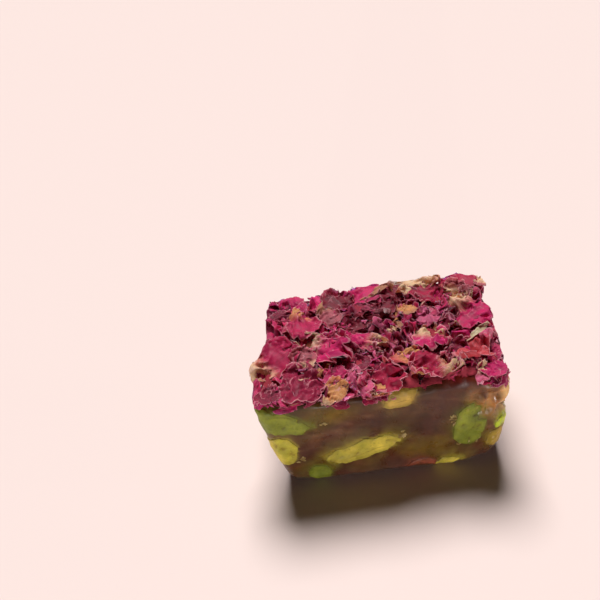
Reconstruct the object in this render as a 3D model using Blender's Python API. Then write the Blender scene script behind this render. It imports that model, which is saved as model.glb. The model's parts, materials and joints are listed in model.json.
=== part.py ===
"""A cube of Turkish delight: pistachio kernels in a soft jelly, under a coat of dried rose petals.

The jelly is a hand-cut block, so its eight corners aren't square and its faces wave a little. Each
kernel that shows at a cut face is a solid of its own, sliced off flush with that face, and sits in
a pocket of the jelly. The petals form one crust on top, out to its uneven outline.

Everything is placed in the block's own frame and hangs from one empty, which finally moves the
whole cube so that the origin is at the centre of its footprint, on the surface that it rests on.
"""

import itertools
import math
import random

import bmesh
import bpy
from mathutils import Matrix, Vector, noise

MM = 0.001

# The jelly block. Corners run round it anticlockwise from above, starting at the front left.
HEIGHT = 19.0 * MM
TOP_CORNERS = {
    "front_left": Vector((-22.4, -15.0)) * MM,
    "front_right": Vector((20.1, -12.2)) * MM,
    "back_right": Vector((21.0, 13.2)) * MM,
    "back_left": Vector((-19.6, 13.2)) * MM,
}
FOOT_SHIFTS = {  # from each top corner to the corner below it: the knife leaned
    "front_left": Vector((3.7, 0.0)) * MM,
    "front_right": Vector((0.5, -0.4)) * MM,
    "back_right": Vector((-0.7, -0.8)) * MM,
    "back_left": Vector((1.6, -0.9)) * MM,
}
FOOT_TUCKS = {  # how far the block's foot is drawn in at its two front corners
    "front_left": Vector((1.2, 0.8)) * MM,
    "front_right": Vector((-2.0, 1.3)) * MM,
}
FOOT_TUCK_REACH = 6.5 * MM
FOOT_TUCK_SHARE = 0.4  # of the height, from the foot up
HALF = Vector((21.0 * MM, 13.5 * MM, HEIGHT / 2))  # about half the block's size, for rounding
UPRIGHT_ROUND = 2.4 * MM  # how far a rounded edge reaches into the faces beside it
FOOT_ROUND = 2.0 * MM
RIM_ROUND = 1.0 * MM
WAVE = 0.32 * MM  # how far a cut face strays from flat
WAVE_LENGTH = 9.0 * MM
CREASE_HEIGHT = 13.0 * MM  # a fold that runs round the front right corner
CREASE_DEPTH = 0.9 * MM
CREASE_WIDTH = 1.7 * MM
CREASE_REACH = 10.0 * MM
LEFT_DRAW = 1.0 * MM  # how far the left side is drawn in halfway along
BLOCK_CUTS = 11
BUNCHING = 0.42 * math.pi  # how strongly the block's grid lines gather at its edges
SIDE_SHARE = 0.8  # a point this far out, as a share of the half size, belongs to a side

# The crust of petals.
GAP = 0.3 * MM  # kept between solids that touch in the real sweet
CRUST_CUTS = (39, 27)
CRUST_THIN = 0.9 * MM
CRUST_OVERHANGS = {"front": 0.5 * MM, "right": -0.2 * MM, "back": 1.9 * MM, "left": 0.2 * MM}
CRUST_BULGES = {  # side, place along it and how much further the rim goes there
    "right_notch": ("right", 8.6 * MM, -1.2 * MM),
    "right_tip": ("right", 13.4 * MM, 1.2 * MM),
    "left_petal": ("left", -6.4 * MM, 1.4 * MM),
    "back_end": ("back", -18.6 * MM, -1.7 * MM),
    "back_heap": ("back", 15.5 * MM, 0.6 * MM),
}
BULGE_WIDTH = 2.2 * MM
CRUST_RAGGED = 0.5 * MM  # how far the rim strays either way from its overhang
CRUST_RAGGED_LENGTH = 2.6 * MM
RIM = 0.999  # past this share of the half size a point is on the rim
PETAL_SPACING = 4.2 * MM
PETAL_RADIUS = 4.0 * MM
PETAL_LIFT = 0.9 * MM
PETAL_SLOPE = 0.24
PETAL_CURL = 0.7 * MM  # how far a petal's edge stands above its middle
HEAP_PLACE = Vector((15.0, 12.0)) * MM  # the petals are piled up at one corner
HEAP_HEIGHT = 1.8 * MM
HEAP_WIDTH = 7.0 * MM
CRUST_RIM_SHARE = 0.6  # the rim's height against the height just inside it

# A kernel.
KERNEL_SEGMENTS = 10
KERNEL_RINGS = 7
KERNEL_TAPER = 0.22  # how much slimmer its tip is than its blunt end
KERNEL_FLATNESS = 0.9
KERNEL_DENTS = 0.35 * MM
PROUD = 0.15 * MM  # how far a sliced kernel stands out of the jelly

SIDES = {  # each side by its ends, left to right as seen from outside
    "front": ("front_left", "front_right"),
    "right": ("front_right", "back_right"),
    "back": ("back_right", "back_left"),
    "left": ("back_left", "front_left"),
}
# Kernels that show: side, distance along its top edge, height, length, width, depth of the middle
# under the face (all mm), lean in the face and swing into the block (degrees), and flesh.
KERNELS = {
    "pistachio_front_leaf": ("front", 4.6, 15.2, 12.2, 5.6, 1.0, -19, 0, "green"),
    "pistachio_front_corner": ("front", 4.9, 8.5, 9.6, 6.6, 2.4, 0, 82, "yellow"),
    "pistachio_front_long": ("front", 18.0, 6.9, 13.6, 4.9, 0.9, 13, 0, "yellow"),
    "pistachio_front_rim": ("front", 25.1, 17.2, 6.2, 3.8, 0.8, 16, 20, "yellow"),
    "pistachio_front_round": ("front", 36.4, 9.4, 9.2, 6.5, 1.0, 82, 0, "green"),
    "pistachio_front_foot": ("front", 10.9, 2.5, 6.8, 4.2, 1.1, -6, 40, "green"),
    "pistachio_front_sliver": ("front", 33.2, 1.3, 5.2, 3.0, 0.9, 2, 0, "yellow"),
    "pistachio_front_skin": ("front", 28.4, 1.1, 4.6, 2.8, 0.9, 4, 0, "red"),
    "pistachio_front_lime": ("front", 41.9, 10.4, 7.0, 4.0, 2.4, 0, 84, "green"),
    "pistachio_front_amber": ("front", 41.6, 5.5, 8.4, 5.0, 3.0, 0, 80, "yellow"),
    "pistachio_right_long": ("right", 15.6, 12.4, 12.2, 5.2, 1.0, -9, 0, "yellow"),
    "pistachio_right_round": ("right", 20.0, 5.4, 8.6, 6.0, 1.1, 74, 0, "green"),
    "pistachio_right_cut": ("right", 12.2, 4.6, 8.4, 4.8, 1.4, 10, 48, "yellow"),
    "pistachio_back_leaf": ("back", 9.2, 13.0, 12.6, 5.6, 1.0, 12, 0, "green"),
    "pistachio_back_long": ("back", 18.6, 5.8, 12.4, 5.0, 0.9, -10, 0, "yellow"),
    "pistachio_back_round": ("back", 27.6, 12.8, 8.8, 6.3, 1.1, 68, 0, "yellow"),
    "pistachio_back_low": ("back", 33.4, 5.2, 9.4, 5.2, 1.0, 22, 0, "green"),
    "pistachio_left_long": ("left", 9.6, 12.4, 12.4, 5.4, 1.0, 11, 0, "yellow"),
    "pistachio_left_round": ("left", 14.0, 5.2, 8.6, 6.0, 1.1, -58, 0, "green"),
}

COLOURS = {  # base colour, roughness
    "jelly": ((0.13, 0.05, 0.03), 0.35),
    "petals": ((0.30, 0.02, 0.07), 0.60),
    "green": ((0.17, 0.17, 0.03), 0.50),
    "yellow": ((0.44, 0.32, 0.07), 0.55),
    "red": ((0.22, 0.07, 0.04), 0.55),
}


def clear_scene():
    for obj in list(bpy.data.objects):
        bpy.data.objects.remove(obj)


def material(name, look):
    colour, roughness = COLOURS[look]
    made = bpy.data.materials.new(name)
    made.use_nodes = True
    shader = made.node_tree.nodes["Principled BSDF"]
    shader.inputs["Base Color"].default_value = (*colour, 1)
    shader.inputs["Roughness"].default_value = roughness
    shader.inputs["Metallic"].default_value = 0
    return made


def add_object(name, shape, origin, look=None):
    """Makes an object of a bmesh, hangs it from the empty and frees the bmesh."""
    mesh = bpy.data.meshes.new(name)
    shape.to_mesh(mesh)
    shape.free()
    mesh.shade_smooth()
    obj = bpy.data.objects.new(name, mesh)
    bpy.context.scene.collection.objects.link(obj)
    obj.parent = origin
    if look:
        mesh.materials.append(material(name, look))
    return obj


def as_helper(obj):
    obj.hide_render = True
    obj.display_type = "WIRE"
    return obj


# Block shape


def block_point(across, deep, up):
    """The point of the block's straight-edged form, each share going from 0 to 1."""
    foot_share = 1 - up

    def corner(name):
        return TOP_CORNERS[name] + FOOT_SHIFTS[name] * foot_share

    front = corner("front_left").lerp(corner("front_right"), across)
    back = corner("back_left").lerp(corner("back_right"), across)
    plan = front.lerp(back, deep)
    plan.x += LEFT_DRAW * (1 - across) * math.sin(math.pi * deep) ** 2
    return Vector((plan.x, plan.y, up * HEIGHT))


def rounded(point, half, reach):
    """Rounds a box that spans -half to half: what lies within reach of an edge goes on an ellipse."""
    core = [max(-h + r, min(h - r, c)) for c, h, r in zip(point, half, reach)]
    out = Vector([(c - k) / r for c, k, r in zip(point, core, reach)])
    if out.length < 1:
        return point
    out.normalize()
    return Vector([k + o * r for k, o, r in zip(core, out, reach)])


def bunched(share):
    """Moves evenly spaced grid lines towards both ends, where the edges are rounded."""
    return math.sin(share * BUNCHING) / math.sin(BUNCHING)


def foot_tuck(point):
    """How far a point is drawn in because it is near one of the front corners of the foot."""
    low = max(0.0, 1 - point.z / (FOOT_TUCK_SHARE * HEIGHT)) ** 1.5
    drawn = Vector((0, 0))
    for name, tuck in FOOT_TUCKS.items():
        away = (point.xy - TOP_CORNERS[name] - FOOT_SHIFTS[name]).length / FOOT_TUCK_REACH
        drawn += tuck * max(0.0, 1 - away) * low
    return drawn


def face_wave(point):
    return WAVE * noise.noise(point / WAVE_LENGTH)


def crease(point):
    """The depth of the fold at a point, deepest at the front right corner."""
    corner = TOP_CORNERS["front_right"]
    away = (point.xy - corner).length / CREASE_REACH
    level = (point.z - CREASE_HEIGHT) / CREASE_WIDTH
    return CREASE_DEPTH * math.exp(-level * level) * max(0.0, 1 - away)


def block_mesh(grow=0.0):
    """The block as a bmesh, its side faces moved out by grow."""
    shape = bmesh.new()
    bmesh.ops.create_cube(shape, size=2)
    bmesh.ops.subdivide_edges(shape, edges=shape.edges, cuts=BLOCK_CUTS, use_grid_fill=True)
    for vert in shape.verts:
        unit = Vector([bunched(c) for c in vert.co])
        z_reach = FOOT_ROUND if unit.z < 0 else RIM_ROUND
        reach = (UPRIGHT_ROUND, UPRIGHT_ROUND, z_reach)
        soft = rounded(Vector([u * h for u, h in zip(unit, HALF)]), HALF, reach)
        share = [s / h / 2 + 0.5 for s, h in zip(soft, HALF)]
        point = block_point(*share)
        point.xy += foot_tuck(point)
        outward = Vector((point.x / HALF.x, point.y / HALF.y, 0))
        outward = Vector([o if abs(o) > SIDE_SHARE else 0 for o in outward])
        if outward.length:
            outward.normalize()
            point += outward * (grow + face_wave(point) - crease(point))
        vert.co = point
    return shape


# Kernels


def kernel_mesh(length, width, grow=0.0):
    """A pistachio kernel along X, blunt at -X, slimmer at +X and a little uneven all over."""
    shape = bmesh.new()
    bmesh.ops.create_uvsphere(
        shape, u_segments=KERNEL_SEGMENTS, v_segments=KERNEL_RINGS, radius=1
    )
    for vert in shape.verts:
        along, side, up = vert.co.z, vert.co.x, vert.co.y
        swell = grow + KERNEL_DENTS * noise.noise(vert.co + Vector((0, 0, length / MM)))
        slim = 1 - KERNEL_TAPER * (along + 1) / 2
        vert.co = Vector(
            (
                along * (length / 2 + grow),
                side * (slim * width / 2 * KERNEL_FLATNESS + swell),
                up * (slim * width / 2 + swell),
            )
        )
    return shape


def kernel_place(side, along, height, sunk, lean, swing):
    """The matrix that carries a kernel from its own frame to its place in a cut face."""
    left, right = (TOP_CORNERS[name] for name in SIDES[side])
    left_shift, right_shift = (FOOT_SHIFTS[name] for name in SIDES[side])
    foot_share = 1 - height / HEIGHT
    start = left + left_shift * foot_share
    end = right + right_shift * foot_share
    run = (end - start).normalized()
    inward = Vector((-run.y, run.x))
    spot = start + run * (along - (start - left).dot(run)) + inward * sunk
    axes = Matrix((run.to_3d(), inward.to_3d(), Vector((0, 0, 1)))).transposed().to_4x4()
    turn = Matrix.Rotation(math.radians(swing), 4, "Z")
    tip = Matrix.Rotation(math.radians(-lean), 4, "Y")
    return Matrix.Translation((spot.x, spot.y, height)) @ axes @ turn @ tip


def add_kernels(origin):
    """Each kernel, sliced by the grown block, and its pocket as a helper. Returns both lists."""
    slicer = as_helper(add_object("kernel_slicer", block_mesh(PROUD), origin))
    pockets = bpy.data.collections.new("pockets")
    bpy.context.scene.collection.children.link(pockets)
    kernels = []
    for name, (side, along, height, length, width, sunk, lean, swing, flesh) in KERNELS.items():
        place = kernel_place(side, along * MM, height * MM, sunk * MM, lean, swing)
        body = kernel_mesh(length * MM, width * MM)
        body.transform(place)
        kernel = add_object(name, body, origin, flesh)
        slice_off = kernel.modifiers.new("slice", "BOOLEAN")
        slice_off.operation = "INTERSECT"
        slice_off.object = slicer
        kernels.append(kernel)
        room = kernel_mesh(length * MM, width * MM, GAP)
        room.transform(place)
        pocket = as_helper(add_object("pocket_" + name, room, origin))
        bpy.context.scene.collection.objects.unlink(pocket)
        pockets.objects.link(pocket)
    return kernels, pockets


def add_jelly(origin, pockets):
    jelly = add_object("jelly", block_mesh(), origin, "jelly")
    hollow = jelly.modifiers.new("pockets", "BOOLEAN")
    hollow.operation = "DIFFERENCE"
    hollow.operand_type = "COLLECTION"
    hollow.collection = pockets
    return jelly


# Crust


def petals_laid():
    """Petals strewn over the top: for each its middle, the height of that and its slope."""
    chance = random.Random(5)
    petals = []
    steps = [int(2 * half // PETAL_SPACING) + 2 for half in HALF.xy]
    for column, row in itertools.product(*(range(count) for count in steps)):
        place = Vector((column, row)) * PETAL_SPACING - HALF.xy
        place += Vector((chance.uniform(-1, 1), chance.uniform(-1, 1))) * PETAL_SPACING / 2
        slope = Vector((chance.uniform(-1, 1), chance.uniform(-1, 1))) * PETAL_SLOPE
        petals.append((place, chance.random() * PETAL_LIFT, slope))
    return petals


def crust_height(spot, petals):
    """The height of the petals above the jelly: the topmost of the cupped petals that reach here."""
    height = CRUST_THIN
    for place, lift, slope in petals:
        away = spot - place
        share = away.length / PETAL_RADIUS
        if share < 1:
            height = max(height, CRUST_THIN + lift + slope.dot(away) + PETAL_CURL * share**3)
    pile = (spot - HEAP_PLACE).length / HEAP_WIDTH
    return height + HEAP_HEIGHT * math.exp(-pile * pile)


def crust_reach(unit, spot):
    """How far the rim moves out from the jelly's edge, given its place in the square -1 to 1."""
    sides = {
        "front": (0, -1, -unit.y),
        "right": (1, 0, unit.x),
        "back": (0, 1, unit.y),
        "left": (-1, 0, -unit.x),
    }
    reach = Vector((0, 0))
    for side, (x, y, nearness) in sides.items():
        if nearness > RIM:
            ragged = CRUST_RAGGED * noise.noise(spot.to_3d() / CRUST_RAGGED_LENGTH)
            reach += Vector((x, y)) * (CRUST_OVERHANGS[side] + ragged)
            for where, along, more in CRUST_BULGES.values():
                away = ((spot.y if x else spot.x) - along) / BULGE_WIDTH
                reach += Vector((x, y)) * more * math.exp(-away * away) * (where == side)
    return reach


def add_crust(origin):
    petals = petals_laid()
    shape = bmesh.new()
    columns, rows = CRUST_CUTS
    bmesh.ops.create_grid(shape, x_segments=columns, y_segments=rows, size=1)
    under = list(shape.faces)
    raised = bmesh.ops.extrude_face_region(shape, geom=under, use_keep_orig=True)["geom"]
    top = {v for v in raised if isinstance(v, bmesh.types.BMVert)}
    for vert in shape.verts:
        unit = vert.co.xy
        spot = Vector([c * h for c, h in zip(unit, HALF.xy)])
        soft = rounded(spot, HALF.xy, (UPRIGHT_ROUND, UPRIGHT_ROUND))
        across, deep = (s / h / 2 + 0.5 for s, h in zip(soft, HALF.xy))
        point = block_point(across, deep, 1)
        point += crust_reach(unit, point.xy).to_3d()
        point.z = HEIGHT + GAP
        if vert in top:
            rim = max(abs(unit.x), abs(unit.y)) > RIM
            point.z += crust_height(point.xy, petals) * (CRUST_RIM_SHARE if rim else 1)
        vert.co = point
    return add_object("petal_crust", shape, origin, "petals")


def stand_on_origin(origin, solids):
    """Moves the empty so that the cube's box is centred on X and Y."""
    bpy.context.view_layer.update()
    graph = bpy.context.evaluated_depsgraph_get()
    corners = [
        solid.matrix_world @ Vector(corner)
        for solid in solids
        for corner in solid.evaluated_get(graph).bound_box
    ]
    for axis in (0, 1):
        spread = [corner[axis] for corner in corners]
        origin.location[axis] -= (min(spread) + max(spread)) / 2


def main():
    clear_scene()
    origin = bpy.data.objects.new("cube_origin", None)
    bpy.context.scene.collection.objects.link(origin)
    kernels, pockets = add_kernels(origin)
    jelly = add_jelly(origin, pockets)
    crust = add_crust(origin)
    stand_on_origin(origin, [jelly, crust, *kernels])


main()
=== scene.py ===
"""A piece of Turkish delight, finished: moist jelly, cut pistachios and a crust of dried rose petals."""

import json
import math
import random

import bpy
import numpy as np
from mathutils import Matrix, Quaternion, Vector, noise
from mathutils.bvhtree import BVHTree
from mathutils.kdtree import KDTree


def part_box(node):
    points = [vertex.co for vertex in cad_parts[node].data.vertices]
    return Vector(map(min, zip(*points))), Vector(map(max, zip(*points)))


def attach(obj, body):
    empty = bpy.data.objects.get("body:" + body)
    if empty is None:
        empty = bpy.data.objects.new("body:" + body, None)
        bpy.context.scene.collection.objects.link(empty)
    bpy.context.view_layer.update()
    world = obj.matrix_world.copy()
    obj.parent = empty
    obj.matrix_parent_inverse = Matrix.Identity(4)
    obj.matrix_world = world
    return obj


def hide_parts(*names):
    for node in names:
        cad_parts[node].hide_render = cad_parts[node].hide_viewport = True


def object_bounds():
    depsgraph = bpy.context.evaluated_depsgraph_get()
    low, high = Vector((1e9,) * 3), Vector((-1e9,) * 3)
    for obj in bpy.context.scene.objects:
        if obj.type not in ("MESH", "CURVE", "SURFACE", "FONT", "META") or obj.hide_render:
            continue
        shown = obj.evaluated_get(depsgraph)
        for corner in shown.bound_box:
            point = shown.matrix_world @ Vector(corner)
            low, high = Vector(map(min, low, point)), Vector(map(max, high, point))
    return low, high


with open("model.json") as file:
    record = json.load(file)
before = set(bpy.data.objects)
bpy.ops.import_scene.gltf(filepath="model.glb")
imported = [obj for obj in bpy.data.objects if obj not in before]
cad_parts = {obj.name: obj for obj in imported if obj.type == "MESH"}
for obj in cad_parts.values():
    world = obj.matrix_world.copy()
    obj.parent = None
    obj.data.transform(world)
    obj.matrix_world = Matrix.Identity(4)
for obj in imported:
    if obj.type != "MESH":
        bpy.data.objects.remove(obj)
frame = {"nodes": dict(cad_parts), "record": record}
CAD_LOW, CAD_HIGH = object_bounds()

MM = 0.001

# The block's own frame, in which the sweet was set out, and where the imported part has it.
JELLY_LOW, JELLY_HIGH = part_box("jelly")
BLOCK_LOW = Vector((-21.95, -14.83, 0)) * MM
ANCHOR = JELLY_LOW - BLOCK_LOW
TOP = JELLY_HIGH.z

# The jelly block's form.
TOP_CORNERS = {
    "front_left": Vector((-22.4, -15.0)) * MM,
    "front_right": Vector((20.1, -12.2)) * MM,
    "back_right": Vector((21.0, 13.2)) * MM,
    "back_left": Vector((-19.6, 13.2)) * MM,
}
FOOT_SHIFTS = {
    "front_left": Vector((3.7, 0.0)) * MM,
    "front_right": Vector((0.5, -0.4)) * MM,
    "back_right": Vector((-0.7, -0.8)) * MM,
    "back_left": Vector((1.6, -0.9)) * MM,
}
HALF = Vector((21.0 * MM, 13.5 * MM, TOP / 2))
UPRIGHT_ROUND = 2.4 * MM
FOOT_ROUND = 2.0 * MM
RIM_ROUND = 1.3 * MM
WAVE = 0.32 * MM
WAVE_LENGTH = 9.0 * MM
CREASE_HEIGHT = 13.0 * MM
CREASE_DEPTH = 0.9 * MM
CREASE_WIDTH = 1.7 * MM
CREASE_REACH = 10.0 * MM
LEFT_DRAW = 1.0 * MM
FOOT_TUCKS = {"front_right": Vector((-2.0, 1.3)) * MM, "front_left": Vector((1.2, 0.8)) * MM}
FOOT_TUCK_REACH = 6.5 * MM
BUNCHING = 0.42 * math.pi
SIDE_SHARE = 0.8
JELLY_CUTS = (150, 96, 70)


# Tools


def only(piece):
    """Makes piece the one selected and active object."""
    bpy.ops.object.select_all(action="DESELECT")
    piece.select_set(True)
    bpy.context.view_layer.objects.active = piece


def finish_with(piece, kind, **settings):
    """Adds a modifier with these settings and applies it."""
    only(piece)
    modifier = piece.modifiers.new(kind.title(), kind)
    for setting, value in settings.items():
        setattr(modifier, setting, value)
    bpy.ops.object.modifier_apply(modifier=modifier.name)


def points_of(piece):
    """The piece's points as an array of rows."""
    flat = np.empty(len(piece.data.vertices) * 3, np.float32)
    piece.data.vertices.foreach_get("co", flat)
    return flat.reshape(-1, 3).astype(np.float64)


def set_points(piece, points):
    piece.data.vertices.foreach_set("co", points.astype(np.float32).ravel())
    piece.data.update()


def normals_of(piece):
    flat = np.empty(len(piece.data.vertices) * 3, np.float32)
    piece.data.vertices.foreach_get("normal", flat)
    return flat.reshape(-1, 3).astype(np.float64)


def paint(piece, name, colours):
    """Stores a colour, one row each or one for all, at the piece's points."""
    rows = np.broadcast_to(np.asarray(colours, np.float64), (len(piece.data.vertices), 3))
    alpha = np.ones((len(rows), 1))
    layer = piece.data.attributes.get(name)
    if layer is None:
        layer = piece.data.attributes.new(name, "FLOAT_COLOR", "POINT")
    layer.data.foreach_set("color", np.hstack([rows, alpha]).astype(np.float32).ravel())


def mark(piece, name, values):
    """Stores three numbers, one row each or one for all, at the piece's points."""
    rows = np.broadcast_to(np.asarray(values, np.float64), (len(piece.data.vertices), 3))
    layer = piece.data.attributes.get(name)
    if layer is None:
        layer = piece.data.attributes.new(name, "FLOAT_VECTOR", "POINT")
    layer.data.foreach_set("vector", rows.astype(np.float32).ravel())


def tree_of(piece):
    """The piece's surface, to find the nearest place on it."""
    mesh = piece.data
    return BVHTree.FromPolygons([v.co for v in mesh.vertices], [p.vertices for p in mesh.polygons])


def noise_at(points, size, shift=0.0):
    """Smooth noise from -1 to 1 at each point, with lumps of about this size."""
    offset = Vector((shift, shift * 0.7, -shift))
    return np.array([noise.noise(Vector(p) / size + offset) for p in points])


def srgb(*levels):
    """A linear colour from levels of 0 to 255."""
    shares = [level / 255 for level in levels]
    return tuple(s / 12.92 if s <= 0.04045 else ((s + 0.055) / 1.055) ** 2.4 for s in shares)


def mixed(first, second, share):
    """Blends two rows of colours by a share for each row."""
    share = np.clip(share, 0, 1)[:, None]
    return first * (1 - share) + np.asarray(second) * share


# Materials


class Look:
    """A material being built: its nodes, added by kind with their settings, and the links."""

    def __init__(self, name):
        self.material = bpy.data.materials.new(name)
        self.material.use_nodes = True
        self.tree = self.material.node_tree
        self.shader = self.tree.nodes["Principled BSDF"]

    def add(self, kind, inputs=None, **settings):
        node = self.tree.nodes.new("ShaderNode" + kind)
        for setting, value in settings.items():
            setattr(node, setting, value)
        for socket, value in (inputs or {}).items():
            if isinstance(value, bpy.types.NodeSocket):
                self.tree.links.new(value, node.inputs[socket])
            else:
                node.inputs[socket].default_value = value
        return node

    def math(self, operation, first, second=0.0, clamp=False):
        node = self.add("Math", {0: first, 1: second}, operation=operation, use_clamp=clamp)
        return node.outputs[0]

    def mix(self, share, first, second, blend="MIX"):
        node = self.add("Mix", data_type="RGBA", blend_type=blend)
        for place, value in zip((0, 6, 7), (share, first, second)):
            if isinstance(value, bpy.types.NodeSocket):
                self.tree.links.new(value, node.inputs[place])
            else:
                node.inputs[place].default_value = value
        return node.outputs[2]

    def ramp(self, share, stops):
        node = self.add("ValToRGB", {0: share})
        ramp = node.color_ramp
        while len(ramp.elements) < len(stops):
            ramp.elements.new(0.5)
        for element, (position, level) in zip(ramp.elements, stops):
            element.position = position
            element.color = (level, level, level, 1) if isinstance(level, float) else (*level, 1)
        return node.outputs[0]

    def noise(self, vector, scale, detail=2.0, roughness=0.5):
        inputs = {"Vector": vector, "Scale": scale, "Detail": detail, "Roughness": roughness}
        return self.add("TexNoise", inputs).outputs["Fac"]

    def place(self):
        return self.add("TexCoord").outputs["Object"]

    def attribute(self, name):
        return self.add("Attribute", attribute_name=name)

    def drive(self, socket, value):
        self.tree.links.new(value, self.shader.inputs[socket])

    def set(self, **levels):
        for socket, level in levels.items():
            self.shader.inputs[socket.replace("_", " ")].default_value = level

    def bump(self, height, strength, distance):
        node = self.add("Bump", {"Height": height, "Strength": strength, "Distance": distance})
        self.drive("Normal", node.outputs[0])


def jelly_look():
    look = Look("moist_jelly")
    where = look.place()
    # The stain attribute holds the jelly's own colours together with its painted shade and painted light.
    stain_and_shade = look.attribute("stain_and_shade").outputs["Color"]
    mottle = look.ramp(look.noise(where, 420, 4.0, 0.6), [(0.3, 0.72), (0.7, 1.18)])
    look.drive("Base Color", look.mix(1.0, stain_and_shade, mottle, "MULTIPLY"))
    wet = look.noise(where, 300, 3.0)
    dull = look.ramp(wet, [(0.35, 0.22), (0.65, 0.46)])
    torn = look.math("MULTIPLY", look.attribute("wet").outputs["Fac"], -0.5)
    look.drive("Roughness", look.math("MULTIPLY", dull, look.math("ADD", torn, 1.0)))
    fine = look.noise(where, 1500, 4.0, 0.6)
    look.bump(fine, 0.35, 0.0002)
    look.set(Subsurface_Weight=0.5, Subsurface_Scale=0.0012, Specular_IOR_Level=0.32)
    look.shader.inputs["Subsurface Radius"].default_value = (1.0, 0.45, 0.25)
    return look.material


def kernel_look():
    look = Look("pistachio_flesh")
    where = look.place()
    flesh = look.attribute("flesh").outputs["Color"]
    patches = look.ramp(look.noise(where, 700, 4.0, 0.6), [(0.3, 0.82), (0.7, 1.15)])
    grained = look.mix(1.0, flesh, patches, "MULTIPLY")
    speck = look.ramp(look.noise(where, 2300, 2.0), [(0.26, 0.7), (0.38, 1.0)])
    look.drive("Base Color", look.mix(1.0, grained, speck, "MULTIPLY"))
    look.drive("Roughness", look.ramp(look.noise(where, 700, 2.0), [(0.3, 0.38), (0.7, 0.6)]))
    look.bump(look.noise(where, 2400, 4.0, 0.65), 0.4, 0.00012)
    look.set(Subsurface_Weight=0.35, Subsurface_Scale=0.0007, Specular_IOR_Level=0.3)
    look.shader.inputs["Subsurface Radius"].default_value = (1.0, 0.8, 0.3)
    return look.material


def petal_look():
    """Streaked blade, pale claw and a thin pale rim, all read from the petal's own coordinates; the pale rim is partly
    the petal's own paler margin and partly painted highlight, and its pale lines on the fold ridges are painted
    highlight.
    """
    look = Look("dried_rose_petal")
    sheet = look.attribute("sheet").outputs["Vector"]
    split = look.add("SeparateXYZ", {0: sheet})
    across, along, number = split.outputs
    blade = look.attribute("blade").outputs["Color"]
    claw = look.attribute("claw").outputs["Color"]
    marks = look.add("SeparateXYZ", {0: look.attribute("marks").outputs["Vector"]})
    reach, pale, rim_place = marks.outputs
    fan = look.math("DIVIDE", across, look.math("ADD", along, 0.35))
    streaks_at = look.add("CombineXYZ", {0: look.math("MULTIPLY", fan, 11.0), 1: along, 2: number})
    streaks = look.noise(streaks_at.outputs[0], 2.0, 3.0, 0.6)
    clouds_at = look.add("CombineXYZ", {0: across, 1: along, 2: number})
    clouds = look.noise(clouds_at.outputs[0], 2.4, 3.0, 0.6)
    streaked = look.mix(1.0, blade, look.ramp(streaks, [(0.3, 0.80), (0.7, 1.14)]), "MULTIPLY")
    clouded = look.mix(1.0, streaked, look.ramp(clouds, [(0.3, 0.69), (0.7, 1.22)]), "MULTIPLY")
    edge = look.math("ADD", along, look.math("MULTIPLY", look.math("SUBTRACT", streaks, 0.5), 0.5))
    from_claw = look.math("SUBTRACT", reach, edge)
    claw_share = look.math("MULTIPLY_ADD", from_claw, 4.0, clamp=True)
    claw_share.node.inputs[2].default_value = 0.5
    body = look.mix(claw_share, clouded, claw)
    # Pale rim: partly the petal's own paler margin, partly painted highlight; on the fold ridges it is painted
    # highlight.
    rim_and_highlight_share = look.ramp(rim_place, [(0.94, 0.0), (0.99, 1.0)])
    rim_and_highlight_share = look.math("MULTIPLY", rim_and_highlight_share, pale)
    rimmed = look.mix(rim_and_highlight_share, body, (*srgb(216, 132, 142), 1))
    look.drive("Base Color", rimmed)
    look.drive("Roughness", look.ramp(clouds, [(0.3, 0.38), (0.7, 0.6)]))
    look.bump(look.math("ADD", streaks, look.math("MULTIPLY", clouds, 0.5)), 0.5, 0.00015)
    look.set(Subsurface_Weight=0.45, Subsurface_Scale=0.0008, Specular_IOR_Level=0.13)
    look.set(Sheen_Weight=0.08, Sheen_Roughness=0.4)
    look.shader.inputs["Subsurface Radius"].default_value = (1.0, 0.6, 0.6)
    return look.material


def bed_look():
    look = Look("petal_dust_bed")
    where = look.place()
    lumps = look.noise(where, 900, 4.0, 0.6)
    look.drive("Base Color", look.ramp(lumps, [(0.3, srgb(116, 34, 44)), (0.7, srgb(164, 54, 68))]))
    look.set(Roughness=0.8, Specular_IOR_Level=0.1)
    look.bump(lumps, 0.6, 0.0003)
    return look.material


def floor_look():
    look = Look("pale_floor")
    look.shader.inputs["Base Color"].default_value = (0.885, 0.722, 0.678, 1)
    look.set(Roughness=0.9, Specular_IOR_Level=0.1)
    return look.material


# Jelly


def block_point(across, deep, up):
    """The point of the block's straight-edged form, each share going from 0 to 1."""
    foot_share = 1 - up

    def corner(name):
        return TOP_CORNERS[name] + FOOT_SHIFTS[name] * foot_share

    front = corner("front_left").lerp(corner("front_right"), across)
    back = corner("back_left").lerp(corner("back_right"), across)
    plan = front.lerp(back, deep)
    plan.x += LEFT_DRAW * (1 - across) * math.sin(math.pi * deep) ** 2
    return Vector((plan.x, plan.y, up * TOP))


def rounded(point, half, reach):
    """Rounds a box that spans -half to half: what lies within reach of an edge goes on an ellipse."""
    core = [max(-h + r, min(h - r, c)) for c, h, r in zip(point, half, reach)]
    out = Vector([(c - k) / r for c, k, r in zip(point, core, reach)])
    if out.length < 1:
        return point
    out.normalize()
    return Vector([k + o * r for k, o, r in zip(core, out, reach)])


def bunched(share):
    """Moves evenly spaced grid lines towards both ends, where the edges are rounded."""
    return math.sin(share * BUNCHING) / math.sin(BUNCHING)


def crease(point):
    """The depth of the fold at a point, deepest at the front right corner."""
    away = (point.xy - TOP_CORNERS["front_right"]).length / CREASE_REACH
    level = (point.z - CREASE_HEIGHT) / CREASE_WIDTH
    return CREASE_DEPTH * math.exp(-level * level) * max(0.0, 1 - away)


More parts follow.
